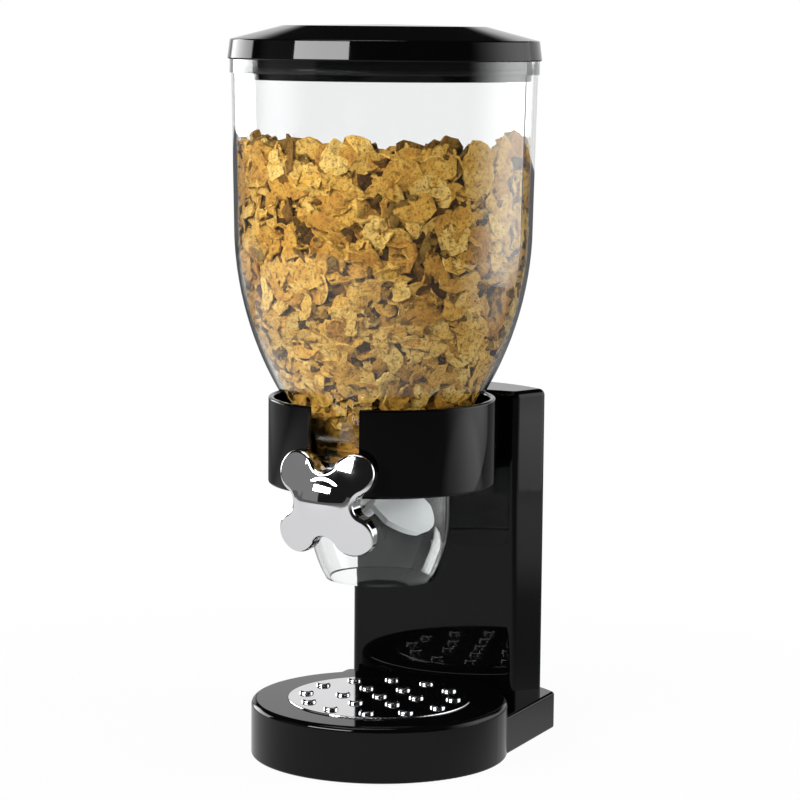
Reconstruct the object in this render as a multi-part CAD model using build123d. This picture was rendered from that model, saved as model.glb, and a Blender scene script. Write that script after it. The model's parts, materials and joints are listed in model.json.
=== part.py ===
from build123d import *
import math
import os

os.makedirs("parts", exist_ok=True)

# Hand-turned dry-food dispenser, in millimetres. +Z is up and the knob faces -Y.
# Pieces are drawn with the hopper's axis at x = y = 0 and the table at z = 0,
# and moved at the end so that the origin is under the middle of the whole object.

# Base: a drum in front and a lower block behind it, moulded as one shell
drum_radius = 69.8
drum_height = 31.0
drum_top_round = 3.0
block_half_width = 65.15
block_height = 21.8
block_ledge = 6.0
block_corner_round = 3.0
block_top_round = 1.6
base_bottom_round = 1.4
base_wall = 2.6
base_roof = 3.4
bottom_cover_thickness = 2.6
foot_radius = 8.0
foot_stand = 1.0
foot_sink = 1.0
front_foot_inset = 20.0
rear_foot_inset = 20.0

# Plate that lies in the drum's top
plate_radius = 49.8
plate_thickness = 2.0
plate_rise = 0.8
plate_edge_round = 0.6
plate_margin = 9.2
stud_rings = 2
stud_radius = 4.0
stud_height = 1.5
stud_round = 1.3
stud_turn = 15.0

# Column that carries the collar
column_gap = 0.3
column_front_half = 49.0
column_corner_half = 58.4
column_side_depth = 22.3
column_bulge = 20.2
column_front_round = 5.0
column_corner_round = 4.5
column_top_round = 3.5
column_wall = 2.8
column_below_collar_top = 2.8
rear_cover_half = 44.0
rear_cover_margin = 9.0

# Collar that holds the hopper
collar_radius = 61.0
collar_bottom = 150.2
collar_height = 46.6
collar_wall = 3.0
collar_round = 1.2
notch_half = 14.5
seat_rise = 17.8
shelf_thickness = 3.2
bridge_half = 38.0
bridge_height = 40.0

# Clear hopper, with its metering chamber and spout
rim_lip = 0.7
rim_height = 7.2
body_top_radius = 81.4
body_radius = 79.6
bowl_curve_radius = 180.0
straight_height = 86.2
neck_radius = 38.6
neck_above_flange = 4.6
flange_thickness = 3.0
spout_radius = 29.6
spout_straight = 16.0
spout_drop = 50.2
hopper_wall = 2.0

# Shaft, bushes and knob
shaft_below_collar = 2.0
shaft_radius = 5.0
shaft_square = 6.8
tail_radius = 3.3
boss_radius = 10.0
boss_inside_collar = 9.0
bush_wall = 2.5
bush_flange = 1.8
bush_flange_step = 2.0
bush_reach = 7.2
socket_depth = 6.0
socket_wall = 2.4
knob_gap = 1.5
knob_thickness = 12.5
knob_front_radius = 75.0
lobe_centre = 22.5
lobe_radius = 11.0
valley_radius = 17.0
knob_edge_round = 2.2
dome_radius = 13.5
dome_height = 2.4
dome_blend = 12.0
stem_radius = 8.0
stem_spigot = 6.0
spigot_wall = 1.5
spigot_end = 1.0

# Paddle that turns in the chamber
paddle_clearance = 2.1
paddle_end_gap = 8.7
vane_corner_gap = 1.1
vane_turn = 42.0
vane_thickness = 3.0
hub_wall = 3.2
sleeve_wall = 2.0

# Lid
lid_overhang = 1.3
lid_side_height = 10.5
lid_side_inset = 1.4
lid_slope_height = 7.3
plateau_radius = 54.0
plateau_crown = 1.0
lid_wall = 2.2
lid_edge_round = 0.8
plug_depth = 10.4
plug_gap = 1.3
plug_wall = 2.2
seal_height = 3.2
seal_bite = 1.2
seal_drop = 4.0
seal_gap = 0.45

# Screws
screw_radius = 1.5
screw_head_radius = 3.0
screw_head_height = 1.2
screw_bite = 9.0
screw_boss_wall = 2.4
driver_slot_width = 0.8
driver_slot_depth = 0.6

# Clearances
slack = 0.05
running = 0.06
fit_gap = 0.3
shelf_gap = 3.3

# How far a cutter runs past a face, and how near an edge lies to the height it is sought at
past = 1.0
near = 0.01

# Worked-out heights
collar_top = collar_bottom + collar_height
column_top = collar_top - column_below_collar_top
seat_z = collar_bottom + seat_rise
flange_top = seat_z + flange_thickness
neck_top = flange_top + neck_above_flange
shaft_z = collar_bottom - shaft_below_collar
bowl_inset = body_radius - neck_radius
bowl_height = math.sqrt(bowl_curve_radius**2 - (bowl_curve_radius - bowl_inset) ** 2)
bowl_top = neck_top + bowl_height
hopper_top = bowl_top + straight_height
spout_top = shaft_z - spout_straight
spout_bottom = shaft_z - spout_drop
lid_shoulder = hopper_top + lid_side_height
lid_plateau = lid_shoulder + lid_slope_height

# Worked-out places from front to back
column_front = drum_radius + column_gap
column_corner = column_front + column_side_depth
column_back = column_corner + column_bulge
block_back = column_back + block_ledge
column_back_arc = (column_corner_half**2 + column_bulge**2) / (2 * column_bulge)
block_arc = column_back_arc + block_ledge
block_corner = block_back - block_arc + math.sqrt(block_arc**2 - block_half_width**2)
knob_back = collar_radius + knob_gap
knob_front = knob_back + knob_thickness
boss_end = collar_radius - boss_inside_collar
neck_bore = neck_radius - hopper_wall
paddle_radius = neck_bore - paddle_clearance
paddle_half = neck_bore - paddle_end_gap
rim_radius = body_top_radius + rim_lip
lid_radius = rim_radius + lid_overhang
screw_hole = screw_radius + fit_gap
pilot_hole = screw_radius + slack
screw_boss = screw_radius + screw_boss_wall
axis_y = (max(lid_radius, knob_front + dome_height) - block_back) / 2


def turned(edges):
    return revolve(Plane.XZ * make_face(edges), Axis.Z)


def along_y(radius, front, back, x=0.0, z=None):
    # A round bar from y = front to y = back.
    height = shaft_z if z is None else z
    bar = Cylinder(radius, back - front, align=(Align.CENTER, Align.CENTER, Align.MIN))
    return Pos(x, front, height) * Rot(-90, 0, 0) * bar


def upright(radius, bottom, top, x=0.0, y=0.0):
    bar = Cylinder(radius, top - bottom, align=(Align.CENTER, Align.CENTER, Align.MIN))
    return Pos(x, y, bottom) * bar


def block(x_low, x_high, y_low, y_high, z_low, z_high):
    size = (x_high - x_low, y_high - y_low, z_high - z_low)
    return Pos(x_low, y_low, z_low) * Box(*size, align=(Align.MIN, Align.MIN, Align.MIN))


def edges_at_height(shape, height):
    return shape.edges().filter_by_position(Axis.Z, height - near, height + near)


def screw(length):
    # A slotted round-head screw, head up, with the underside of the head at z = 0.
    head = upright(screw_head_radius, 0, screw_head_height)
    head = fillet(head.edges().sort_by(Axis.Z)[-1], screw_head_height / 3)
    slot_floor = screw_head_height - driver_slot_depth
    reach = screw_head_radius + past
    half = driver_slot_width / 2
    head -= block(-reach, reach, -half, half, slot_floor, screw_head_height + past)
    return head + upright(screw_radius, -length, 0)


def mirrored(points):
    return [(side * x, y) for x, y in points for side in (-1, 1)]


def block_plan():
    half = block_half_width
    sides = Polyline((-half, block_corner), (-half, 0), (half, 0), (half, block_corner))
    back = ThreePointArc((half, block_corner), (0, block_back), (-half, block_corner))
    plan = make_face([sides, back])
    return fillet(plan.vertices().sort_by(Axis.Y)[-2:], block_corner_round)


def column_plan():
    front = column_front_half
    corner = column_corner_half
    right = [(front, column_front), (corner, column_corner)]
    sides = Polyline(*[(-x, y) for x, y in reversed(right)], *right)
    back = ThreePointArc((corner, column_corner), (0, column_back), (-corner, column_corner))
    plan = make_face([sides, back])
    plan = fillet(plan.vertices().sort_by(Axis.Y)[:2], column_front_round)
    corners = plan.vertices().filter_by(lambda v: abs(abs(v.X) - corner) < near)
    return fillet(corners, column_corner_round)


# Screw and foot places
cover_screw_ring = drum_radius - base_wall - screw_boss - 2 * fit_gap
rear_screw_x = block_half_width - base_wall - screw_boss - 2 * fit_gap
rear_screw_y = block_corner - rear_foot_inset
cover_screw_points = [(0, -cover_screw_ring)]
cover_screw_points += mirrored([(cover_screw_ring, 0), (rear_screw_x, rear_screw_y)])
column_screw_front = column_front + column_wall + screw_boss + fit_gap
column_screw_rear = column_corner + column_bulge / 4
column_screw_points = mirrored(
    [
        (column_front_half - column_wall - 2 * screw_boss, column_screw_front),
        (column_front_half - column_wall - 3 * screw_boss, column_screw_rear),
    ]
)
foot_ring = (drum_radius - front_foot_inset) / math.sqrt(2)
foot_points = {
    "front_left": (-foot_ring, -foot_ring),
    "front_right": (foot_ring, -foot_ring),
    "rear_left": (rear_foot_inset - block_half_width, block_corner),
    "rear_right": (block_half_width - rear_foot_inset, block_corner),
}
cover_top = foot_stand + bottom_cover_thickness
column_floor_top = block_height + column_wall
roof_under_block = block_height - base_roof
roof_under_drum = drum_height - base_roof
recess_floor = drum_height + plate_rise - plate_thickness
collar_screw_z = [collar_bottom + bridge_height * share for share in (0.2, 0.8)]
collar_screw_x = bridge_half - 2 * screw_boss
rear_cover_low = block_height + rear_cover_margin
rear_cover_high = column_top - rear_cover_margin
rear_screw_heights = [rear_cover_low + 2 * screw_boss, rear_cover_high - 2 * screw_boss]


def make_base_shell():
    drum = upright(drum_radius, foot_stand, drum_height)
    drum = fillet(edges_at_height(drum, drum_height), drum_top_round)
    drum = fillet(edges_at_height(drum, foot_stand), base_bottom_round)
    rear = Pos(0, 0, foot_stand) * extrude(block_plan(), block_height - foot_stand)
    rear = fillet(edges_at_height(rear, block_height), block_top_round)
    rear = fillet(edges_at_height(rear, foot_stand), base_bottom_round)
    shell = drum + rear
    shell -= upright(drum_radius - base_wall, foot_stand, roof_under_drum)
    inside = offset(block_plan(), -base_wall)
    shell -= Pos(0, 0, foot_stand) * extrude(inside, roof_under_block - foot_stand)
    for x, y in cover_screw_points:
        under = roof_under_drum if math.hypot(x, y) < drum_radius - base_wall else roof_under_block
        shell += upright(screw_boss, cover_top, under, x, y)
        shell -= upright(pilot_hole, cover_top, cover_top + screw_bite + past, x, y)
    for x, y in column_screw_points:
        shell -= upright(screw_hole, roof_under_block - past, block_height + past, x, y)
    return shell - upright(plate_radius + fit_gap, recess_floor, drum_height + past)


def make_base_bottom_cover():
    inset = base_wall + fit_gap
    plan = Circle(drum_radius - inset) + offset(block_plan(), -inset)
    cover = Pos(0, 0, foot_stand) * extrude(plan, bottom_cover_thickness)
    for x, y in cover_screw_points:
        cover -= upright(screw_hole, foot_stand - past, cover_top + past, x, y)
        cover -= upright(screw_head_radius + fit_gap, foot_stand - past, foot_stand + screw_head_height, x, y)
    for x, y in foot_points.values():
        cover -= upright(foot_radius + slack, foot_stand - past, foot_stand + foot_sink, x, y)
    return cover


def make_rubber_foot(x, y):
    foot = upright(foot_radius, 0, foot_stand + foot_sink, x, y)
    return fillet(foot.edges().sort_by(Axis.Z)[0], foot_stand / 2)


def make_bottom_cover_screws():
    one = Pos(0, 0, foot_stand + screw_head_height) * Rot(180, 0, 0) * screw(screw_bite)
    return Compound([Pos(x, y, 0) * one for x, y in cover_screw_points])


def make_column_shell():
    tall = column_top - block_height
    shell = Pos(0, 0, block_height) * extrude(column_plan(), tall)
    shell = fillet(edges_at_height(shell, column_top), column_top_round)
    inside = offset(column_plan(), -column_wall)
    hollow = Pos(0, 0, column_floor_top) * extrude(inside, tall - 2 * column_wall)
    shell -= hollow
    shell -= block(
        -rear_cover_half, rear_cover_half, column_corner, column_back + past, rear_cover_low, rear_cover_high
    )
    for x, y in column_screw_points:
        shell += upright(screw_boss, column_floor_top, column_floor_top + screw_bite, x, y)
        shell -= upright(pilot_hole, block_height - past, block_height + screw_bite, x, y)
    post_end = column_back - column_wall - fit_gap
    for height in rear_screw_heights:
        shell += along_y(screw_boss, column_front + column_wall / 2, post_end, 0, height)
        shell -= along_y(pilot_hole, post_end - screw_bite, post_end + past, 0, height)
    for height in collar_screw_z:
        for x in (-collar_screw_x, collar_screw_x):
            shell -= along_y(screw_hole, column_front - past, column_front + column_wall + past, x, height)
    return shell


def make_column_rear_cover():
    tall = column_top - block_height
    skin = extrude(column_plan(), tall) - extrude(offset(column_plan(), -column_wall), tall)
    half = rear_cover_half - fit_gap
    window = block(
        -half, half, column_corner, column_back + past, rear_cover_low + fit_gap, rear_cover_high - fit_gap
    )
    cover = (Pos(0, 0, block_height) * skin) & window
    for height in rear_screw_heights:
        cover -= along_y(screw_hole, column_corner, column_back + past, 0, height)
        head_seat = column_back - screw_head_height
        cover -= along_y(screw_head_radius + fit_gap, head_seat, column_back + past, 0, height)
    return cover


def make_rear_cover_screws():
    one = Rot(-90, 0, 0) * screw(screw_bite)
    seat = column_back - screw_head_height
    return Compound([Pos(0, seat, height) * one for height in rear_screw_heights])


def make_column_base_screws():
    one = Pos(0, 0, roof_under_block) * Rot(180, 0, 0) * screw(screw_bite)
    return Compound([Pos(x, y, 0) * one for x, y in column_screw_points])


def make_collar():
    bore = collar_radius - collar_wall
    bridge = block(-bridge_half, bridge_half, 0, column_front, collar_bottom, collar_bottom + bridge_height)
    ring = upright(collar_radius, collar_bottom, collar_top)
    inside = upright(bore, collar_bottom, collar_top)
    wall = ring - inside
    wall = fillet(edges_at_height(wall, collar_top) + edges_at_height(wall, collar_bottom), collar_round)
    shelf = upright(bore + collar_wall / 2, seat_z - shelf_thickness, seat_z)
    shelf -= upright(neck_radius + shelf_gap, seat_z - shelf_thickness, seat_z)
    collar = wall + shelf + (bridge - upright(bore + collar_wall / 2, 0, collar_top))
    collar -= block(-notch_half, notch_half, -collar_radius - past, 0, collar_bottom - past, collar_top + past)
    for height in collar_screw_z:
        for x in (-collar_screw_x, collar_screw_x):
            collar -= along_y(pilot_hole, column_front - screw_bite, column_front + past, x, height)
    return collar


def make_collar_screws():
    one = Rot(-90, 0, 0) * screw(screw_bite + column_wall / 2)
    seat = column_front + column_wall
    places = [(x, height) for height in collar_screw_z for x in (-collar_screw_x, collar_screw_x)]
    return Compound([Pos(x, seat, height) * one for x, height in places])


def make_stud_plate():
    top = drum_height + plate_rise
    plate = upright(plate_radius, recess_floor, top)
    plate = fillet(edges_at_height(plate, top), plate_edge_round)
    cap = upright(stud_radius, top - plate_rise, top + stud_height)
    cap = fillet(edges_at_height(cap, top + stud_height), stud_round)
    ring_step = (plate_radius - plate_margin) / stud_rings
    places = [(0.0, 0.0)]
    for ring in range(1, stud_rings + 1):
        count = 6 * ring
        for k in range(count):
            angle = math.radians(stud_turn + 360 / count * k)
            places.append((ring * ring_step * math.cos(angle), ring * ring_step * math.sin(angle)))
    return plate + [Pos(x, y, 0) * cap for x, y in places]


def hopper_skin(inset):
    # The hopper's turned form from rim to spout, drawn in by inset from its outside.
    bowl = bowl_curve_radius - inset
    bowl_centre = body_radius - bowl_curve_radius
    neck = neck_radius - inset
    neck_z = bowl_top - math.sqrt(bowl**2 - (neck - bowl_centre) ** 2)
    bowl_mid = math.radians(45) * (bowl_top - neck_z) / bowl_height / 2
    spout_height = spout_top - spout_bottom
    spout_draw = neck_radius - spout_radius
    spout_arc = (spout_height**2 + spout_draw**2) / (2 * spout_draw)
    spout_centre = neck_radius - spout_arc
    spout_end = spout_centre + math.sqrt((spout_arc - inset) ** 2 - spout_height**2)
    spout_mid = math.asin(spout_height / (spout_arc - inset)) / 2
    bowl_point = (bowl_centre + bowl * math.cos(bowl_mid), bowl_top - bowl * math.sin(bowl_mid))
    spout_point = (
        spout_centre + (spout_arc - inset) * math.cos(spout_mid),
        spout_top - (spout_arc - inset) * math.sin(spout_mid),
    )
    top = (body_top_radius - inset, hopper_top)
    bowl_start = (body_radius - inset, bowl_top)
    edges = [
        Polyline((neck, spout_top), (neck, neck_z)),
        ThreePointArc((neck, neck_z), bowl_point, bowl_start),
        Polyline(bowl_start, top, (0, hopper_top), (0, spout_bottom), (spout_end, spout_bottom)),
        ThreePointArc((spout_end, spout_bottom), spout_point, (neck, spout_top)),
    ]
    return turned(edges)


def make_canister():
    hollow = hopper_skin(hopper_wall)
    bush_bore = shaft_radius + bush_wall + slack
    body = hopper_skin(0)
    body += upright(rim_radius, hopper_top - rim_height, hopper_top)
    body += upright(collar_radius - collar_wall - 2 * fit_gap, seat_z, flange_top)
    body += along_y(boss_radius, -boss_end, 0)
    body -= hollow
    socket_front = neck_radius - socket_wall - socket_depth
    body += along_y(tail_radius + bush_wall + socket_wall, socket_front, neck_radius) & hollow
    body -= along_y(bush_bore, -boss_end, -neck_bore / 2)
    body -= along_y(tail_radius + bush_wall + slack, socket_front - past, socket_front + socket_depth)
    return body


def make_front_shaft_bush():
    inner_end = bush_reach - neck_bore
    bush = along_y(shaft_radius + bush_wall, -boss_end, inner_end)
    flange = shaft_radius + bush_wall + bush_flange_step
    bush += along_y(flange, -boss_end - bush_flange, -boss_end)
    return bush - along_y(shaft_radius + running, -boss_end - bush_flange, inner_end)


def make_rear_shaft_bush():
    start = neck_radius - socket_wall - socket_depth
    bush = along_y(tail_radius + bush_wall, start, start + socket_depth)
    return bush - along_y(tail_radius + running, start, start + socket_depth)


def knob_plan():
    # Four round lobes on the diagonals, joined by hollow arcs that touch them.
    reach = lobe_centre / math.sqrt(2)
    span = valley_radius - lobe_radius
    valley = (2 * reach**2 - span**2) / (2 * (reach - span))
    hollow = valley - valley_radius
    share = lobe_radius / (lobe_radius + hollow)
    touch = (reach + (valley - reach) * share, reach - reach * share)
    tip = (lobe_centre + lobe_radius) / math.sqrt(2)
    edges = []
    for quarter in range(4):
        turn = Rot(0, 0, 90 * quarter)
        edges.append(turn * ThreePointArc((touch[0], -touch[1]), (valley_radius, 0), touch))
        edges.append(turn * ThreePointArc(touch, (tip, tip), (touch[1], touch[0])))
    return make_face(edges)


def make_knob():
    front = Plane.XZ.offset(knob_back) * knob_plan()
    knob = Pos(0, 0, shaft_z) * extrude(front, knob_thickness)
    ball_centre = knob_front_radius - knob_front
    knob &= Pos(0, ball_centre, shaft_z) * Sphere(knob_front_radius)
    rim = knob.edges().filter_by(Axis.Y, reverse=True)
    rim = rim.filter_by(lambda e: -e.center().Y > knob_back + past)
    knob = fillet(rim, knob_edge_round)
    face_drop = knob_front_radius - math.sqrt(knob_front_radius**2 - dome_radius**2)
    dome_rise = dome_height + face_drop
    dome_ball = (dome_radius**2 + dome_rise**2) / (2 * dome_rise)
    dome = Pos(0, dome_ball - knob_front - dome_height, shaft_z) * Sphere(dome_ball)
    knob += dome & along_y(dome_radius, -knob_front - dome_height, face_drop - knob_front)
    seam = knob.edges().filter_by(GeomType.CIRCLE)
    knob = fillet(seam.filter_by(lambda e: abs(e.radius - dome_radius) < near), dome_blend)
    knob -= along_y(shaft_radius + spigot_wall + slack, -knob_back - stem_spigot - slack, -knob_back + past)
    return knob


def make_knob_insert():
    stem_back = -boss_end - bush_flange - fit_gap
    shaft_end = spigot_end - knob_back - stem_spigot
    insert = along_y(stem_radius, -knob_back, stem_back)
    insert += along_y(shaft_radius + spigot_wall, -knob_back - stem_spigot, -knob_back)
    return insert - along_y(shaft_radius + slack, shaft_end - slack, stem_back)


def make_drive_shaft():
    shaft_end = spigot_end - knob_back - stem_spigot
    bush_inner = bush_reach - neck_bore
    tail_start = neck_radius - socket_wall - socket_depth
    half = shaft_square / 2
    shaft = along_y(shaft_radius, shaft_end, bush_inner)
    shaft += block(-half, half, bush_inner, tail_start - fit_gap, shaft_z - half, shaft_z + half)
    return shaft + along_y(tail_radius, tail_start - fit_gap, tail_start + socket_depth - fit_gap)


def make_paddle_hub():
    half = shaft_square / 2 + slack
    hub = along_y(half * math.sqrt(2) + hub_wall, -paddle_half, paddle_half)
    return hub - block(-half, half, -paddle_half, paddle_half, shaft_z - half, shaft_z + half)


def make_paddle_wheel():
    hub_radius = (shaft_square / 2 + slack) * math.sqrt(2) + hub_wall + slack
    plan = Circle(neck_bore - vane_corner_gap) & Rectangle(2 * paddle_radius, 2 * paddle_half)
    pair = extrude(plan, vane_thickness / 2, both=True)
    wheel = along_y(hub_radius + sleeve_wall, -paddle_half, paddle_half)
    for angle in (vane_turn, vane_turn - 90):
        wheel += Pos(0, 0, shaft_z) * Rot(0, angle, 0) * pair
    return wheel - along_y(hub_radius, -paddle_half, paddle_half)


def make_lid_cover():
    shoulder = lid_radius - lid_side_inset
    crown = lid_plateau + plateau_crown
    outline = Polyline(
        (lid_radius, hopper_top),
        (shoulder, lid_shoulder),
        (plateau_radius, lid_plateau),
        (0, crown),
        (0, crown - lid_wall),
        (plateau_radius, lid_plateau - lid_wall),
        (shoulder - lid_wall, lid_shoulder - lid_wall),
        (lid_radius - lid_wall, hopper_top),
        close=True,
    )
    cover = turned([outline])
    outer = cover.edges().filter_by(GeomType.CIRCLE).filter_by(lambda e: e.radius > plateau_radius - past)
    outer = outer.filter_by(lambda e: e.center().Z > lid_shoulder - near or e.radius > lid_radius - near)
    return fillet(outer, lid_edge_round)


def hopper_bore(height):
    # Radius inside the hopper's straight wall, which widens upwards a little.
    share = (height - bowl_top) / straight_height
    return body_radius + (body_top_radius - body_radius) * share - hopper_wall


plug_bottom = hopper_top - plug_depth
plug_radius = min(hopper_bore(plug_bottom), hopper_bore(hopper_top)) - plug_gap
plug_flange_draft = lid_side_inset * plug_wall / (lid_side_height - lid_wall)
plug_flange = lid_radius - lid_wall - plug_flange_draft - fit_gap
plug_top = hopper_top + plug_wall
seal_top = hopper_top - seal_drop
seal_inner = plug_radius - seal_bite
seal_outer = min(hopper_bore(seal_top - seal_height), hopper_bore(hopper_top)) - seal_gap


def make_lid_plug():
    plug = upright(plug_radius, plug_bottom, hopper_top) + upright(plug_flange, hopper_top, plug_top)
    plug -= upright(seal_inner - plug_wall, plug_bottom + plug_wall, plug_top)
    groove = upright(plug_radius + past, seal_top - seal_height - slack, seal_top + slack)
    return plug - (groove - upright(seal_inner, seal_top - seal_height - slack, seal_top + slack))


def make_lid_seal():
    seal = upright(seal_outer, seal_top - seal_height, seal_top)
    seal = fillet(seal.edges().filter_by(GeomType.CIRCLE), (seal_outer - plug_radius) * 0.8)
    return seal - upright(seal_inner + slack, seal_top - seal_height, seal_top)


pieces = {
    "base_shell": make_base_shell(),
    "base_bottom_cover": make_base_bottom_cover(),
    "bottom_cover_screws": make_bottom_cover_screws(),
    "column_shell": make_column_shell(),
    "column_rear_cover": make_column_rear_cover(),
    "rear_cover_screws": make_rear_cover_screws(),
    "column_base_screws": make_column_base_screws(),
    "collar": make_collar(),
    "collar_screws": make_collar_screws(),
    "stud_plate": make_stud_plate(),
    "canister": make_canister(),
    "front_shaft_bush": make_front_shaft_bush(),
    "rear_shaft_bush": make_rear_shaft_bush(),
    "knob": make_knob(),
    "knob_insert": make_knob_insert(),
    "drive_shaft": make_drive_shaft(),
    "paddle_hub": make_paddle_hub(),
    "paddle_wheel": make_paddle_wheel(),
    "lid_cover": make_lid_cover(),
    "lid_plug": make_lid_plug(),
    "lid_seal": make_lid_seal(),
}
for corner, (x, y) in foot_points.items():
    pieces["rubber_foot_" + corner] = make_rubber_foot(x, y)

for name, shape in pieces.items():
    export_step(Pos(0, axis_y, 0) * shape, f"parts/{name}.step")

print("hopper axis at y", round(axis_y, 3))
print("shaft at z", round(shaft_z, 3))
print("lid crown at z", round(lid_plateau + plateau_crown, 3))
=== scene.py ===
import json
import math
import random

import bpy
from mathutils import Matrix, Vector, noise


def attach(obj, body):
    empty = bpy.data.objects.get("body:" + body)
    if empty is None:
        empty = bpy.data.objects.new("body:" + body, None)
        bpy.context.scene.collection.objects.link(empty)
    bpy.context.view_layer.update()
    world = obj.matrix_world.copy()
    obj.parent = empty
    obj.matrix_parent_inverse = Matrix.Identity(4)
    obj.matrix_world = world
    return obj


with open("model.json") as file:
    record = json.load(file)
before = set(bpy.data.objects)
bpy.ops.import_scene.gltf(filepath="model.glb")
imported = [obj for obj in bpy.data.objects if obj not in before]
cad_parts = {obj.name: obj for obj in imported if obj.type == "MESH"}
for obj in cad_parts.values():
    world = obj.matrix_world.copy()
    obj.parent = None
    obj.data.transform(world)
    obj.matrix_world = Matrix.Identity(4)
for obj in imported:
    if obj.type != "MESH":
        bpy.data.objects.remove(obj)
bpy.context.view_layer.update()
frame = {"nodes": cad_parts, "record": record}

nodes = frame["nodes"]
scene = bpy.context.scene
scene.view_settings.view_transform = "Standard"
bpy.ops.object.select_all(action="DESELECT")
print("frame loaded,", len(nodes), "nodes")


def linear(hexColour):
    channels = [int(hexColour[i:i + 2], 16) / 255 for i in (1, 3, 5)]
    return [c / 12.92 if c <= 0.04045 else ((c + 0.055) / 1.055) ** 2.4 for c in channels] + [1.0]


# adds one node: values go to settings or sockets, links come from other nodes' sockets
def addNode(tree, kind, values={}, links={}):
    node = tree.nodes.new(kind)
    for name, value in values.items():
        if isinstance(name, str) and hasattr(node, name):
            setattr(node, name, value)
        else:
            node.inputs[name].default_value = value
    for name, socket in links.items():
        tree.links.new(socket, node.inputs[name])
    return node


def newMaterial(name):
    material = bpy.data.materials.new(name)
    material.use_nodes = True
    tree = material.node_tree
    place = addNode(tree, "ShaderNodeTexCoord").outputs["Object"]
    return material, tree, tree.nodes["Principled BSDF"], place


# ABS from a polished mould: deep black, sharp reflections, faint orange peel and handling haze
glossAbs = {"dark": "#030304", "light": "#060607", "smooth": 0.02, "hazy": 0.06, "hazeMm": 26,
            "hazeFrom": 0.35, "hazeTo": 0.7, "peelMm": 5, "peelDepthMm": 0.012, "peel": 0.25,
            "ior": 1.53, "shine": 0.18}


def makeGlossAbs():
    material, tree, shader, place = newMaterial("polishedBlackAbs")
    haze = addNode(tree, "ShaderNodeTexNoise", {"Scale": 1000 / glossAbs["hazeMm"], "Detail": 5},
                   {"Vector": place})
    tone = addNode(tree, "ShaderNodeMix", {"data_type": "RGBA", 6: linear(glossAbs["dark"]),
                                           7: linear(glossAbs["light"])}, {0: haze.outputs["Fac"]})
    rough = addNode(tree, "ShaderNodeMapRange",
                    {"From Min": glossAbs["hazeFrom"], "From Max": glossAbs["hazeTo"],
                     "To Min": glossAbs["smooth"], "To Max": glossAbs["hazy"]},
                    {"Value": haze.outputs["Fac"]})
    peel = addNode(tree, "ShaderNodeTexNoise", {"Scale": 1000 / glossAbs["peelMm"], "Detail": 1},
                   {"Vector": place})
    bump = addNode(tree, "ShaderNodeBump",
                   {"Strength": glossAbs["peel"], "Distance": glossAbs["peelDepthMm"] / 1000},
                   {"Height": peel.outputs["Fac"]})
    shader.inputs["IOR"].default_value = glossAbs["ior"]
    shader.inputs["Specular IOR Level"].default_value = glossAbs["shine"]
    tree.links.new(tone.outputs[2], shader.inputs["Base Color"])
    tree.links.new(rough.outputs[0], shader.inputs["Roughness"])
    tree.links.new(bump.outputs[0], shader.inputs["Normal"])
    return material


# ABS from a spark-eroded mould: dull, with an even fine grain
grainAbs = {"dark": "#131314", "light": "#1d1d1f", "grainMm": 0.9, "grainDepthMm": 0.12, "grain": 0.6,
            "rough": 0.55}


def makeGrainAbs():
    material, tree, shader, place = newMaterial("grainedBlackAbs")
    grain = addNode(tree, "ShaderNodeTexNoise", {"Scale": 1000 / grainAbs["grainMm"], "Detail": 3},
                    {"Vector": place})
    tone = addNode(tree, "ShaderNodeMix", {"data_type": "RGBA", 6: linear(grainAbs["dark"]),
                                           7: linear(grainAbs["light"])}, {0: grain.outputs["Fac"]})
    bump = addNode(tree, "ShaderNodeBump",
                   {"Strength": grainAbs["grain"], "Distance": grainAbs["grainDepthMm"] / 1000},
                   {"Height": grain.outputs["Fac"]})
    shader.inputs["Roughness"].default_value = grainAbs["rough"]
    tree.links.new(tone.outputs[2], shader.inputs["Base Color"])
    tree.links.new(bump.outputs[0], shader.inputs["Normal"])
    return material


# bright zinc on steel: pale blue-grey metal with a fine crystal mottle
zincSteel = {"dark": "#a3a8ab", "light": "#c9cccd", "crystalMm": 1.2, "smooth": 0.24, "rough": 0.42}


def makeZincSteel():
    material, tree, shader, place = newMaterial("zincPlatedSteel")
    mottle = addNode(tree, "ShaderNodeTexVoronoi", {"Scale": 1000 / zincSteel["crystalMm"]}, {"Vector": place})
    tone = addNode(tree, "ShaderNodeMix", {"data_type": "RGBA", 6: linear(zincSteel["dark"]),
                                           7: linear(zincSteel["light"])}, {0: mottle.outputs["Distance"]})
    rough = addNode(tree, "ShaderNodeMapRange", {"To Min": zincSteel["smooth"], "To Max": zincSteel["rough"]},
                    {"Value": mottle.outputs["Distance"]})
    shader.inputs["Metallic"].default_value = 1.0
    tree.links.new(tone.outputs[2], shader.inputs["Base Color"])
    tree.links.new(rough.outputs[0], shader.inputs["Roughness"])
    return material


# moulded rubber: matt black, slightly dusty, fine grain
footRubber = {"dark": "#0e0e0e", "dusty": "#232322", "dustMm": 6, "grainMm": 0.7, "grainDepthMm": 0.1,
              "grain": 0.4, "rough": 0.8}


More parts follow.
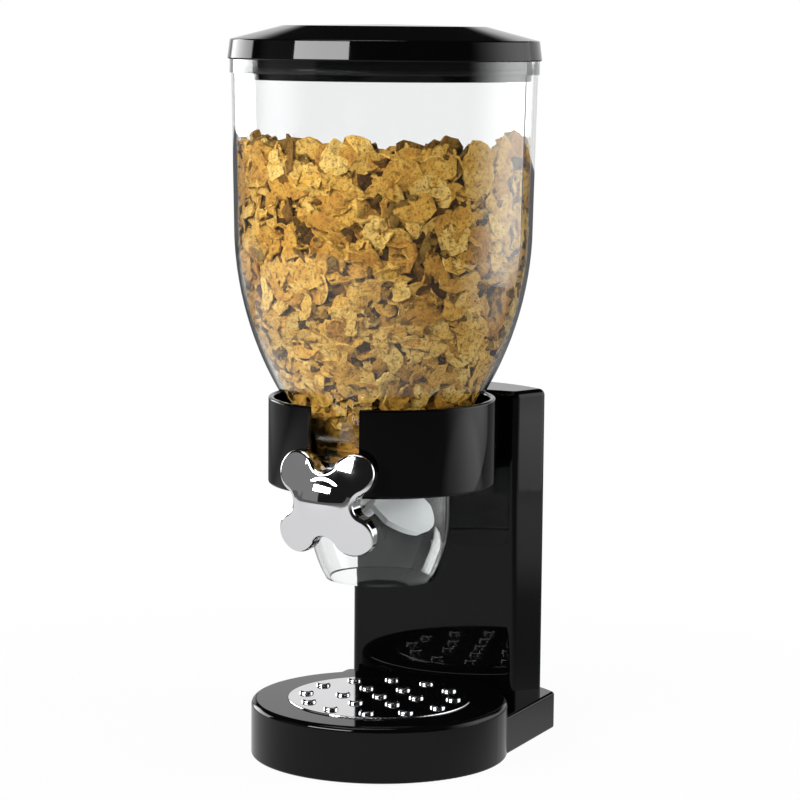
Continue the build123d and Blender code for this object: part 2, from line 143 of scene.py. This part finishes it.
def makeFootRubber():
    material, tree, shader, place = newMaterial("mouldedBlackRubber")
    dust = addNode(tree, "ShaderNodeTexNoise", {"Scale": 1000 / footRubber["dustMm"], "Detail": 4},
                   {"Vector": place})
    grain = addNode(tree, "ShaderNodeTexNoise", {"Scale": 1000 / footRubber["grainMm"]}, {"Vector": place})
    tone = addNode(tree, "ShaderNodeMix", {"data_type": "RGBA", 6: linear(footRubber["dark"]),
                                           7: linear(footRubber["dusty"])}, {0: dust.outputs["Fac"]})
    bump = addNode(tree, "ShaderNodeBump",
                   {"Strength": footRubber["grain"], "Distance": footRubber["grainDepthMm"] / 1000},
                   {"Height": grain.outputs["Fac"]})
    shader.inputs["Roughness"].default_value = footRubber["rough"]
    tree.links.new(tone.outputs[2], shader.inputs["Base Color"])
    tree.links.new(bump.outputs[0], shader.inputs["Normal"])
    return material


# seal rubber from a polished mould: black, softly shiny, faint bloom
sealRubber = {"dark": "#040404", "bloom": "#0a0a0a", "bloomMm": 8, "rough": 0.22, "shine": 0.3}


def makeSealRubber():
    material, tree, shader, place = newMaterial("smoothSealRubber")
    bloom = addNode(tree, "ShaderNodeTexNoise", {"Scale": 1000 / sealRubber["bloomMm"], "Detail": 4},
                    {"Vector": place})
    tone = addNode(tree, "ShaderNodeMix", {"data_type": "RGBA", 6: linear(sealRubber["dark"]),
                                           7: linear(sealRubber["bloom"])}, {0: bloom.outputs["Fac"]})
    shader.inputs["Roughness"].default_value = sealRubber["rough"]
    shader.inputs["Specular IOR Level"].default_value = sealRubber["shine"]
    tree.links.new(tone.outputs[2], shader.inputs["Base Color"])
    return material


# bright chrome plate over a polished blank: mirror, with faint finger haze
chromePlate = {"tone": "#e9e9eb", "clean": 0.03, "hazy": 0.09, "hazeMm": 12, "hazeFrom": 0.4, "hazeTo": 0.75}


def makeChromePlate():
    material, tree, shader, place = newMaterial("brightChromePlate")
    haze = addNode(tree, "ShaderNodeTexNoise", {"Scale": 1000 / chromePlate["hazeMm"], "Detail": 6},
                   {"Vector": place})
    rough = addNode(tree, "ShaderNodeMapRange",
                    {"From Min": chromePlate["hazeFrom"], "From Max": chromePlate["hazeTo"],
                     "To Min": chromePlate["clean"], "To Max": chromePlate["hazy"]},
                    {"Value": haze.outputs["Fac"]})
    shader.inputs["Base Color"].default_value = linear(chromePlate["tone"])
    shader.inputs["Metallic"].default_value = 1.0
    tree.links.new(rough.outputs[0], shader.inputs["Roughness"])
    return material


# clear styrene acrylonitrile, polished mould: water clear with a trace of haze; lamps reach the food through it
clearSan = {"tone": "#fbfcfc", "glare": "#c4c6c6", "lampTone": "#f4f6f6", "clean": 0.0, "hazy": 0.03,
            "hazeMm": 30, "hazeFrom": 0.45, "hazeTo": 0.75, "ior": 1.57}


def makeClearSan():
    material, tree, shader, place = newMaterial("clearStyreneAcrylonitrile")
    haze = addNode(tree, "ShaderNodeTexNoise", {"Scale": 1000 / clearSan["hazeMm"], "Detail": 4},
                   {"Vector": place})
    rough = addNode(tree, "ShaderNodeMapRange",
                    {"From Min": clearSan["hazeFrom"], "From Max": clearSan["hazeTo"],
                     "To Min": clearSan["clean"], "To Max": clearSan["hazy"]},
                    {"Value": haze.outputs["Fac"]})
    shader.inputs["Base Color"].default_value = linear(clearSan["tone"])
    shader.inputs["IOR"].default_value = clearSan["ior"]
    shader.inputs["Specular Tint"].default_value = linear(clearSan["glare"])
    shader.inputs["Transmission Weight"].default_value = 1.0
    tree.links.new(rough.outputs[0], shader.inputs["Roughness"])
    rays = addNode(tree, "ShaderNodeLightPath")
    through = addNode(tree, "ShaderNodeBsdfTransparent", {"Color": linear(clearSan["lampTone"])})
    mix = addNode(tree, "ShaderNodeMixShader", {}, {0: rays.outputs["Is Shadow Ray"], 1: shader.outputs[0],
                                                    2: through.outputs[0]})
    tree.links.new(mix.outputs[0], tree.nodes["Material Output"].inputs["Surface"])
    return material


# acetal: opaque milky white, satin
whiteAcetal = {"tone": "#e6e5df", "shade": "#d8d6cd", "mottleMm": 4, "rough": 0.38}


def makeWhiteAcetal():
    material, tree, shader, place = newMaterial("whiteAcetal")
    mottle = addNode(tree, "ShaderNodeTexNoise", {"Scale": 1000 / whiteAcetal["mottleMm"], "Detail": 3},
                     {"Vector": place})
    tone = addNode(tree, "ShaderNodeMix", {"data_type": "RGBA", 6: linear(whiteAcetal["shade"]),
                                           7: linear(whiteAcetal["tone"])}, {0: mottle.outputs["Fac"]})
    shader.inputs["Roughness"].default_value = whiteAcetal["rough"]
    tree.links.new(tone.outputs[2], shader.inputs["Base Color"])
    return material


# moulded silicone rubber: off-white, soft sheen, lets a little light through
whiteSilicone = {"tone": "#dcdede", "shade": "#d3d5d5", "mottleMm": 9, "grainMm": 1.4, "grainDepthMm": 0.1,
                 "grain": 0.15, "rough": 0.45, "milky": 0.25, "milkyMm": 4}


def makeWhiteSilicone():
    material, tree, shader, place = newMaterial("whiteSilicone")
    mottle = addNode(tree, "ShaderNodeTexNoise", {"Scale": 1000 / whiteSilicone["mottleMm"], "Detail": 4},
                     {"Vector": place})
    tone = addNode(tree, "ShaderNodeMix", {"data_type": "RGBA", 6: linear(whiteSilicone["shade"]),
                                           7: linear(whiteSilicone["tone"])}, {0: mottle.outputs["Fac"]})
    grain = addNode(tree, "ShaderNodeTexNoise", {"Scale": 1000 / whiteSilicone["grainMm"]}, {"Vector": place})
    bump = addNode(tree, "ShaderNodeBump",
                   {"Strength": whiteSilicone["grain"], "Distance": whiteSilicone["grainDepthMm"] / 1000},
                   {"Height": grain.outputs["Fac"]})
    shader.inputs["Roughness"].default_value = whiteSilicone["rough"]
    shader.inputs["Subsurface Weight"].default_value = whiteSilicone["milky"]
    shader.inputs["Subsurface Radius"].default_value = [whiteSilicone["milkyMm"] / 1000] * 3
    tree.links.new(tone.outputs[2], shader.inputs["Base Color"])
    tree.links.new(bump.outputs[0], shader.inputs["Normal"])
    return material


# toasted bran flakes: dry, blistered, each its own shade from straw to amber, with darker bran specks and painted
# shade in the hollows of the blisters
branFlake = {"amber": "#a06e2a", "golden": "#c2963f", "straw": "#d6b66a", "bran": "#5e3c12", "patchMm": 7,
             "ownShade": 0.42, "speckMm": 1.1, "speckFrom": 0.56, "speckTo": 0.7, "blisterMm": 2.4,
             "blisterDepthMm": 1.7, "blister": 0.9, "pitFrom": 0.5, "pitTo": 0.34, "markDepth": 0.75,
             "rough": 0.7, "shine": 0.15}


def makeBranFlake(name, shade):
    material, tree, shader, place = newMaterial(name)
    patch = addNode(tree, "ShaderNodeTexNoise", {"Scale": 1000 / branFlake["patchMm"], "Detail": 3},
                    {"Vector": place})
    each = addNode(tree, "ShaderNodeNewGeometry")
    spread = addNode(tree, "ShaderNodeMapRange",
                     {"To Min": -branFlake["ownShade"], "To Max": branFlake["ownShade"]},
                     {"Value": each.outputs["Random Per Island"]})
    blend = addNode(tree, "ShaderNodeMath", {"operation": "ADD", "use_clamp": True},
                    {0: patch.outputs["Fac"], 1: spread.outputs[0]})
    toast = addNode(tree, "ShaderNodeValToRGB", {}, {0: blend.outputs[0]})
    stops = toast.color_ramp.elements
    stops[0].color, stops[1].color = linear(branFlake["amber"]), linear(branFlake["straw"])
    stops.new(0.5).color = linear(branFlake["golden"])
    speck = addNode(tree, "ShaderNodeTexNoise", {"Scale": 1000 / branFlake["speckMm"], "Detail": 2},
                    {"Vector": place})
    specks = addNode(tree, "ShaderNodeMapRange",
                     {"From Min": branFlake["speckFrom"], "From Max": branFlake["speckTo"],
                      "To Max": branFlake["markDepth"]}, {"Value": speck.outputs["Fac"]})
    blister = addNode(tree, "ShaderNodeTexNoise",
                      {"Scale": 1000 / branFlake["blisterMm"], "Detail": 4, "Roughness": 0.65},
                      {"Vector": place})
    # painted shade: the colour darkens toward bran where the blister bump is low, in its hollows
    paintedPitShade = addNode(tree, "ShaderNodeMapRange",
                   {"From Min": branFlake["pitFrom"], "From Max": branFlake["pitTo"],
                    "To Max": branFlake["markDepth"]}, {"Value": blister.outputs["Fac"]})
    specksAndPitShade = addNode(tree, "ShaderNodeMath", {"operation": "MAXIMUM"}, {0: specks.outputs[0], 1: paintedPitShade.outputs[0]})
    tone = addNode(tree, "ShaderNodeMix", {"data_type": "RGBA", 7: linear(branFlake["bran"])},
                   {0: specksAndPitShade.outputs[0], 6: toast.outputs[0]})
    # the shade colour is multiplied over the whole colour: a faint tint for the front flakes, painted shade for the
    # flakes behind, the crumbs and the crumb bed
    dim = addNode(tree, "ShaderNodeMix",
                  {"data_type": "RGBA", "blend_type": "MULTIPLY", 0: 1.0, 7: linear(shade)},
                  {6: tone.outputs[2]})
    bump = addNode(tree, "ShaderNodeBump",
                   {"Strength": branFlake["blister"], "Distance": branFlake["blisterDepthMm"] / 1000},
                   {"Height": blister.outputs["Fac"]})
    shader.inputs["Roughness"].default_value = branFlake["rough"]
    shader.inputs["Specular IOR Level"].default_value = branFlake["shine"]
    tree.links.new(dim.outputs[2], shader.inputs["Base Color"])
    tree.links.new(bump.outputs[0], shader.inputs["Normal"])
    return material


finishes = {
    "black_abs": makeGlossAbs(),
    "black_textured_plastic": makeGrainAbs(),
    "zinc_steel": makeZincSteel(),
    "black_rubber": makeFootRubber(),
    "chrome": makeChromePlate(),
    "clear_plastic": makeClearSan(),
    "white_acetal": makeWhiteAcetal(),
    "white_silicone": makeWhiteSilicone(),
}
for subpart in frame["record"]["subparts"]:
    nodes[subpart["node"]].material_slots[0].material = finishes[subpart["material_slot"]]
nodes["lid_seal"].material_slots[0].material = makeSealRubber()

# inside of the clear hopper, in metres, for the food to lie against, and the ball that the paddle sweeps below it
hopper = {"axisY": -0.0176, "bowlTop": 0.28996, "bowlCentre": -0.1004, "bowlRadius": 0.1780, "bowlDeep": 0.115,
          "topRadius": 0.0794, "topHeight": 0.36896, "bowlRim": 0.0776, "neckRadius": 0.0366, "wallGap": 0.0004,
          "widest": 0.08, "slopeStep": 0.002}
paddle = {"height": 0.1482, "reach": 0.0368}


def wallRadius(z):
    if z > hopper["bowlTop"]:
        rise = (z - hopper["bowlTop"]) / (hopper["topHeight"] - hopper["bowlTop"])
        return hopper["bowlRim"] + (hopper["topRadius"] - hopper["bowlRim"]) * rise - hopper["wallGap"]
    drop = min(hopper["bowlTop"] - z, hopper["bowlDeep"])
    bowl = hopper["bowlCentre"] + math.sqrt(hopper["bowlRadius"] ** 2 - drop ** 2)
    return max(bowl, hopper["neckRadius"]) - hopper["wallGap"]


# keeps a point inside the clear wall and out of the paddle's sweep
def keepInside(point):
    x, y = point.x, point.y - hopper["axisY"]
    reach = math.hypot(x, y)
    limit = wallRadius(point.z)
    if reach > limit:
        x, y = x * limit / reach, y * limit / reach
    held = Vector((x, y, point.z - paddle["height"]))
    if held.length < paddle["reach"]:
        held *= paddle["reach"] / held.length
    return Vector((held.x, held.y + hopper["axisY"], held.z + paddle["height"]))


# one toasted flake: a ragged disc, curled and crumpled, a millimetre thick; every fourth is broken along one side
flake = {"corners": 14, "radius": 0.0096, "inset": 0.4, "slim": (0.72, 1.0), "ragged": 0.24,
         "scallop": 0.08, "scallopWave": 2.7, "nibble": 0.7, "brokenAt": (0.35, 0.7), "breakRough": 0.08,
         "breakWave": 3, "curl": 0.0026, "alongCurl": (-1, 1), "acrossCurl": (0.2, 1), "crumple": 0.0024,
         "folds": ((1.5, 1.4, 7), (3.4, 0.7, 0)),  # wave, height and where in the noise
         "thick": 0.0013, "smoothTo": 50, "shapes": 16}


def modelFlake(seed):
    pick = random.Random(seed)
    bpy.ops.object.select_all(action="DESELECT")
    bpy.ops.mesh.primitive_circle_add(vertices=flake["corners"], radius=flake["radius"], fill_type="NGON")
    piece = bpy.context.object
    bpy.ops.object.mode_set(mode="EDIT")
    bpy.ops.mesh.select_all(action="SELECT")
    bpy.ops.mesh.inset(thickness=flake["radius"] * flake["inset"])
    bpy.ops.mesh.poke()
    bpy.ops.object.mode_set(mode="OBJECT")
    swirl = pick.uniform(0, 100)
    slim = pick.uniform(*flake["slim"])
    broken = pick.uniform(*flake["brokenAt"]) if seed % 4 == 0 else math.inf
    alongCurl, acrossCurl = pick.uniform(*flake["alongCurl"]), pick.uniform(*flake["acrossCurl"])
    for vertex in piece.data.vertices:
        out = vertex.co.length / flake["radius"]
        angle = math.atan2(vertex.co.y, vertex.co.x)
        rim = Vector((math.cos(angle), math.sin(angle), swirl))
        scallop = 2 * noise.noise(rim * flake["scallopWave"]) + pick.uniform(-flake["nibble"], flake["nibble"])
        grow = 1 + out * (flake["ragged"] * noise.noise(rim) + flake["scallop"] * scallop)
        edge = broken + flake["breakRough"] * noise.noise(Vector((angle * flake["breakWave"], swirl, 1)))
        u = min(math.cos(angle) * out * grow, edge)
        v = math.sin(angle) * out * grow * slim
        lift = flake["curl"] * (alongCurl * u * u - acrossCurl * v * v)
        lift += flake["crumple"] * sum(height * noise.noise(Vector((u * wave, v * wave, swirl + shift)))
                                       for wave, height, shift in flake["folds"])
        vertex.co = (u * flake["radius"], v * flake["radius"], lift)
    thicken = piece.modifiers.new("thickness", "SOLIDIFY")
    thicken.thickness = flake["thick"]
    thicken.offset = 0
    bpy.ops.object.modifier_apply(modifier="thickness")
    bpy.ops.object.shade_smooth_by_angle(angle=math.radians(flake["smoothTo"]))
    piece.name = "flakeShape%d" % seed
    return piece


flakeShapes = [modelFlake(seed) for seed in range(flake["shapes"])]
print("flake shapes", len(flakeShapes))

# the heap of food: dished in the middle and lower at the back, with waves of (wave, height, where in the noise)
heap = {"seed": 11, "low": 0.1735, "level": 0.3300, "over": 0.004, "dish": 0.009, "slope": 0.016,
        "highest": (0.416, -0.909), "waves": ((22, 0.006, 3.1), (70, 0.003, 9.4)), "tries": 7, "spin": 6.3,
        "lever": 0.8}
# how flakes lie at the wall, behind those, as crumbs between them and on top: tip and lean in degrees, depth in metres
wallLay = {"count": 900, "flatShare": 0.66, "flat": (-22, 26, 4), "tipped": (26, 72), "depth": (0.0008, 0.0026),
           "lean": (0, 22, 5), "size": (0.7, 1.25, 1.0)}
topLay = {"count": 260, "reach": 0.073, "depth": (0.001, 0.004), "lean": (0, 34, 8), "size": (0.4, 0.95)}
behindLay = {"count": 620, "tip": (-30, 45), "depth": (0.0032, 0.0062), "lean": (0, 35), "size": (0.8, 1.2)}
crumbLay = {"count": 700, "tip": (-40, 70), "depth": (0.0004, 0.0024), "lean": (0, 40), "size": (0.12, 0.36)}
pick = random.Random(heap["seed"])
laid = []
taken = []


def heapTop(x, y):
    across, along = x / hopper["bowlRim"], (y - hopper["axisY"]) / hopper["bowlRim"]
    back = max(0, -across * heap["highest"][0] - along * heap["highest"][1])
    drop = heap["dish"] * max(0, 1 - across ** 2 - along ** 2) + heap["slope"] * back ** 2
    top = heap["level"] - drop
    for wave, height, shift in heap["waves"]:
        top += height * noise.noise(Vector((x * wave, y * wave, shift)))
    return top


# lays a copy of a shape at a point, its face turned towards facing, leaned and spun at random
def layFlake(at, facing, lean, size):
    turn = facing.to_track_quat("Z", "Y").to_matrix().to_4x4()
    swing = pick.uniform(0, heap["spin"])
    tip = Matrix.Rotation(lean, 4, Vector((math.cos(swing), math.sin(swing), 0)))
    spin = Matrix.Rotation(pick.uniform(0, heap["spin"]), 4, "Z")
    copy = pick.choice(flakeShapes).copy()
    copy.data = copy.data.copy()
    copy.data.transform(Matrix.Translation(at) @ turn @ tip @ spin @ Matrix.Scale(size, 4))
    for vertex in copy.data.vertices:
        vertex.co = keepInside(vertex.co)
    scene.collection.objects.link(copy)
    laid.append(copy)


# a point on the inside of the wall, spread evenly over its area, and the way the wall faces there
def wallPoint():
    while True:
        z = pick.uniform(heap["low"], heap["level"] + heap["over"])
        angle = pick.uniform(0, 2 * math.pi)
        radius = wallRadius(z)
        at = Vector((math.sin(angle) * radius, -math.cos(angle) * radius + hopper["axisY"], z))
        if pick.uniform(0, hopper["widest"]) < radius and z < heapTop(at.x, at.y):
            break
    step = hopper["slopeStep"]
    slope = (wallRadius(z + step) - wallRadius(z - step)) / (2 * step)
    return at, Vector((math.sin(angle), -math.cos(angle), -slope)).normalized()


# the roomiest of a few places at the wall, so that the flakes cover it evenly
def roomyPoint():
    found = [wallPoint() for turn in range(heap["tries"])]
    room = [min(((at - other).length_squared for other in taken), default=1) for at, facing in found]
    at, facing = found[room.index(max(room))]
    taken.append(at)
    return at, facing


# flakes settle flat on the wall or tip back from it towards the top
def settle(at, facing, tip, depth, lean, size):
    reach = flake["radius"] * size * heap["lever"] * math.sin(abs(tip))
    faced = (facing * math.cos(tip) + Vector((0, 0, 1)) * math.sin(tip)).normalized()
    layFlake(at - facing * (depth + reach), faced, lean, size)


# joins what was laid since the last call into one piece
def gather(name, finish):
    bpy.ops.object.select_all(action="DESELECT")
    for copy in laid:
        copy.select_set(True)
    bpy.context.view_layer.objects.active = laid[0]
    bpy.ops.object.join()
    piece = bpy.context.object
    piece.name = name
    piece.data.materials.clear()
    piece.data.materials.append(finish)
    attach(piece, "hopper")
    print(name, len(laid), "flakes,", len(piece.data.polygons), "faces")
    laid.clear()


for count in range(wallLay["count"]):
    at, facing = roomyPoint()
    isFlat = pick.random() < wallLay["flatShare"]
    tip = math.radians(pick.triangular(*wallLay["flat"]) if isFlat else pick.uniform(*wallLay["tipped"]))
    settle(at, facing, tip, pick.uniform(*wallLay["depth"]), math.radians(pick.triangular(*wallLay["lean"])),
           pick.triangular(*wallLay["size"]))
for count in range(topLay["count"]):
    angle, reach = pick.uniform(0, 2 * math.pi), math.sqrt(pick.uniform(0, 1)) * topLay["reach"]
    x, y = math.sin(angle) * reach, -math.cos(angle) * reach + hopper["axisY"]
    at = Vector((x, y, heapTop(x, y) - pick.uniform(*topLay["depth"])))
    layFlake(at, Vector((0, 0, 1)), math.radians(pick.triangular(*topLay["lean"])), pick.uniform(*topLay["size"]))
gather("branFlakes", makeBranFlake("toastedBranFlake", "#f2eee2"))
# the flakes behind and the crumbs get a darker copy of the flake finish, painted shade for the lower light deep in the
# heap
for lay in (behindLay, crumbLay):
    for count in range(lay["count"]):
        at, facing = wallPoint()
        settle(at, facing, math.radians(pick.uniform(*lay["tip"])), pick.uniform(*lay["depth"]),
               math.radians(pick.uniform(*lay["lean"])), pick.uniform(*lay["size"]))
gather("branFlakesBehind", makeBranFlake("paintedShadeBranFlake", "#958a6c"))
for shape in flakeShapes:
    bpy.data.objects.remove(shape)


# the bed of crumbs that the flakes lie in: out over its top to the wall, down the wall and in again over the paddle;
# the shares say how much of its rows lie on top, down the wall and underneath
bed = {"gap": 0.0034, "clear": 0.0006, "sunk": 0.0030, "bottom": 0.1868, "lumpMm": 15, "lump": 0.0018,
       "crumbMm": 4.5, "crumb": 0.0026, "around": 240, "rows": 140, "topShare": 0.28, "wallShare": 0.64,
       "footShare": 0.08, "narrow": 0.01}


def modelCrumbBed():
    bpy.ops.object.select_all(action="DESELECT")
    bpy.ops.mesh.primitive_uv_sphere_add(segments=bed["around"], ring_count=bed["rows"], radius=1.0)
    piece = bpy.context.object
    for vertex in piece.data.vertices:
        x, y = vertex.co.x, vertex.co.y
        flat = max(math.hypot(x, y), 1e-6)
        row = math.acos(max(-1, min(1, vertex.co.z))) / math.pi
        rimTop = heapTop(x / flat * hopper["bowlRim"], y / flat * hopper["bowlRim"] + hopper["axisY"])
        high = rimTop - bed["sunk"]
        z = high - (high - bed["bottom"]) * max(0, min(1, (row - bed["topShare"]) / bed["wallShare"]))
        inward = min(1, row / bed["topShare"], (1 - row) / bed["footShare"])
        reach = (wallRadius(z) - bed["gap"]) * inward
        x, y = x / flat * reach, y / flat * reach
        spot = Vector((x, y, z)) * 1000
        swell = bed["lump"] * noise.noise(spot / bed["lumpMm"]) + bed["crumb"] * noise.noise(spot / bed["crumbMm"])
        if row < bed["topShare"]:
            grow = 1
            z = heapTop(x, y + hopper["axisY"]) - bed["sunk"] + swell
        else:
            grow = 1 + min(swell, bed["gap"] - bed["clear"]) / max(reach, bed["narrow"])
        vertex.co = keepInside(Vector((x * grow, y * grow + hopper["axisY"], z)))
    bpy.ops.object.shade_smooth()
    piece.name = "branCrumbBed"
    return piece


crumbBed = modelCrumbBed()
# the crumb bed gets a still darker copy of the flake finish, painted shade for the lower light deep in the heap
crumbBed.data.materials.append(makeBranFlake("paintedShadeBranCrumb", "#5d5035"))
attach(crumbBed, "hopper")
print("crumb bed faces", len(crumbBed.data.polygons))

# camera where the photograph was taken, 1.56 m away with a long lens
cameraSet = {"at": (0.65412, -1.42827, 0.39410), "turn": (82.68977, -0.51404, 24.58682), "lens": 131.248,
             "sensor": 36.0}
bpy.ops.object.camera_add(location=cameraSet["at"], rotation=[math.radians(a) for a in cameraSet["turn"]])
camera = bpy.context.object
camera.data.lens = cameraSet["lens"]
camera.data.sensor_width = cameraSet["sensor"]
scene.camera = camera


# 1 where the camera looks at something itself or through clear plastic alone, 0 for light that touched something
def seenByCamera(tree, rays):
    touched = addNode(tree, "ShaderNodeMath", {"operation": "ADD"},
                      {0: rays.outputs["Diffuse Depth"], 1: rays.outputs["Glossy Depth"]})
    clear = addNode(tree, "ShaderNodeMath", {"operation": "LESS_THAN", 1: 0.5}, {0: touched.outputs[0]})
    through = addNode(tree, "ShaderNodeMath", {"operation": "MULTIPLY"},
                      {0: rays.outputs["Is Transmission Ray"], 1: clear.outputs[0]})
    return addNode(tree, "ShaderNodeMath", {"operation": "MAXIMUM"},
                   {0: rays.outputs["Is Camera Ray"], 1: through.outputs[0]}).outputs[0]


# smooth fades multiplied together, each from nothing at its start to full at its end
def fadeTogether(tree, fades):
    strength = None
    for value, start, end in fades:
        fade = addNode(tree, "ShaderNodeMapRange",
                       {"interpolation_type": "SMOOTHSTEP", "From Min": start, "From Max": end},
                       {"Value": value}).outputs[0]
        if strength is not None:
            fade = addNode(tree, "ShaderNodeMath", {"operation": "MULTIPLY"}, {0: strength, 1: fade}).outputs[0]
        strength = fade
    return strength


# plain pale floor, which runs out into white; metal and glass see it as a bright table and two sheets beside it,
# each (place, full to, ends at, tone), in a dim room
floorSet = {"tone": "#cfcfcf", "rough": 0.9, "size": 12.0, "fadeFrom": 0.16, "fadeTo": 0.5, "lift": 0.96,
            "tableAt": (-0.5, -0.5, 0.0), "tableTo": 0.7, "dimFrom": 1.0, "tableTone": 0.78, "dimTone": 0.12,
            "mirrored": 0.85,
            "sheets": (((-1.9, 0.5, 0.0), 0.6, 1.2, 0.38), ((0.92, 0.44, 0.0), 0.36, 0.62, 0.8))}
bpy.ops.mesh.primitive_plane_add(size=floorSet["size"], location=(0, 0, 0))
floor = bpy.context.object
floor.name = "studioFloor"
material, tree, shader, place = newMaterial("paleFloor")
shader.inputs["Base Color"].default_value = linear(floorSet["tone"])
shader.inputs["Roughness"].default_value = floorSet["rough"]
shader.inputs["Specular IOR Level"].default_value = 0.0
away = addNode(tree, "ShaderNodeVectorMath", {"operation": "LENGTH"}, {0: place})
fade = addNode(tree, "ShaderNodeMapRange",
               {"interpolation_type": "SMOOTHSTEP", "From Min": floorSet["fadeFrom"],
                "From Max": floorSet["fadeTo"], "To Min": floorSet["lift"], "To Max": 1.0},
               {"Value": away.outputs["Value"]})
aside = addNode(tree, "ShaderNodeVectorMath", {"operation": "DISTANCE", 1: floorSet["tableAt"]}, {0: place})
bright = addNode(tree, "ShaderNodeMapRange",
                 {"interpolation_type": "SMOOTHSTEP", "From Min": floorSet["tableTo"],
                  "From Max": floorSet["dimFrom"], "To Min": floorSet["tableTone"],
                  "To Max": floorSet["dimTone"]}, {"Value": aside.outputs["Value"]})
for sheetAt, sheetTo, sheetEnd, sheetTone in floorSet["sheets"]:
    beside = addNode(tree, "ShaderNodeVectorMath", {"operation": "DISTANCE", 1: sheetAt}, {0: place})
    sheet = addNode(tree, "ShaderNodeMapRange",
                    {"interpolation_type": "SMOOTHSTEP", "From Min": sheetEnd, "From Max": sheetTo,
                     "To Max": sheetTone}, {"Value": beside.outputs["Value"]})
    bright = addNode(tree, "ShaderNodeMath", {"operation": "MAXIMUM"},
                     {0: bright.outputs[0], 1: sheet.outputs[0]})
rays = addNode(tree, "ShaderNodeLightPath")
seen = seenByCamera(tree, rays)
share = addNode(tree, "ShaderNodeMath", {"operation": "MULTIPLY"}, {0: fade.outputs[0], 1: seen})
shares = addNode(tree, "ShaderNodeMath",
                 {"operation": "MULTIPLY_ADD", "use_clamp": True, 1: floorSet["mirrored"]},
                 {0: rays.outputs["Is Glossy Ray"], 2: share.outputs[0]})
glow = addNode(tree, "ShaderNodeMix", {"data_type": "FLOAT", 3: 1.0}, {0: seen, 2: bright.outputs[0]})
white = addNode(tree, "ShaderNodeEmission", {}, {"Strength": glow.outputs[0]})
mix = addNode(tree, "ShaderNodeMixShader", {}, {0: shares.outputs[0], 1: shader.outputs[0], 2: white.outputs[0]})
tree.links.new(mix.outputs[0], tree.nodes["Material Output"].inputs["Surface"])
floor.data.materials.append(material)

# room round the object: bearings in degrees from the front, right is plus; each wall fades in from its first bearing
# to the second and out from the third to the fourth, and ends between two heights (sine of the elevation)
room = {"dim": 0.012, "walls": {
    "greyLeft": ((-26, -29, -66, -84), (0.42, 0.60), 0.22),
    "panelLeft": ((-88, -91, -122, -132), (0.30, 0.42), 6.0),
    "backdropLeft": ((-120, -140, -185, -190), (0.22, 0.34), 0.83),
    "backdropRight": ((190, 185, 160, 150), (0.22, 0.34), 0.83),
}}
world = bpy.data.worlds.new("studioRoom")
scene.world = world
world.use_nodes = True
tree = world.node_tree
looking = addNode(tree, "ShaderNodeTexCoord").outputs["Generated"]
direction = addNode(tree, "ShaderNodeSeparateXYZ", {}, {0: looking}).outputs
front = addNode(tree, "ShaderNodeMath", {"operation": "MULTIPLY", 1: -1.0}, {0: direction["Y"]})
bearing = addNode(tree, "ShaderNodeMath", {"operation": "ARCTAN2"},
                  {0: direction["X"], 1: front.outputs[0]}).outputs[0]
light = None
for bearings, heights, strength in room["walls"].values():
    first, second, third, fourth = [math.radians(b) for b in bearings]
    shape = fadeTogether(tree, ((bearing, first, second), (bearing, fourth, third),
                                (direction["Z"], heights[1], heights[0])))
    wall = addNode(tree, "ShaderNodeMath", {"operation": "MULTIPLY", 1: strength}, {0: shape}).outputs[0]
    light = addNode(tree, "ShaderNodeMath", {"operation": "MAXIMUM", 1: room["dim"]},
                    {0: wall} if light is None else {0: wall, 1: light}).outputs[0]
seen = seenByCamera(tree, addNode(tree, "ShaderNodeLightPath"))
shown = addNode(tree, "ShaderNodeMix", {"data_type": "FLOAT", 3: 1.0}, {0: seen, 2: light})
tree.links.new(shown.outputs[0], tree.nodes["Background"].inputs["Strength"])
tree.nodes["Background"].inputs["Color"].default_value = (1, 1, 1, 1)

# soft boxes: place, what they face, width, height and watts
lamps = {
    "keyFrontLeft": ((-0.50, -1.25, 0.76), (0, 0, 0.35), 1.05, 0.30, 24.0),
    "overhead": ((-0.2, -0.2, 1.5), (0, 0, 0.2), 0.8, 0.8, 7.0),
    "sideRight": ((0.728, 0.52, 0.46), (-0.072, 0.16, 0.46), 1.45, 0.90, 11.5),
    "fillRight": ((0.918, 0.23, 0.30), (0, 0, 0.25), 0.4, 0.4, 9.5),
}
# the side lamp's fades along its width and height, and the lamp that lights the food but has no reflection
sideFades = (("X", 0.05, 0.47), ("X", 1.15, 0.42), ("X", 1.0, 0.9), ("Y", -0.14, 0.21), ("Y", 1.0, 0.6))
unseenLamp = "fillRight"
for name, (at, target, width, height, watts) in lamps.items():
    facing = (Vector(target) - Vector(at)).to_track_quat("-Z", "Y").to_euler()
    bpy.ops.object.light_add(type="AREA", location=at, rotation=facing)
    lamp = bpy.context.object
    lamp.name = name
    lamp.data.shape = "RECTANGLE"
    lamp.data.size = width
    lamp.data.size_y = height
    lamp.data.energy = watts
    if name == unseenLamp:
        lamp.visible_glossy = lamp.visible_transmission = False
    if name == "sideRight":
        lamp.data.use_nodes = True
        tree = lamp.data.node_tree
        across = addNode(tree, "ShaderNodeNewGeometry").outputs["Parametric"]
        along = addNode(tree, "ShaderNodeSeparateXYZ", {}, {0: across}).outputs
        strength = fadeTogether(tree, [(along[axis], start, end) for axis, start, end in sideFades])
        tree.links.new(strength, tree.nodes["Emission"].inputs["Strength"])
print("studio set")
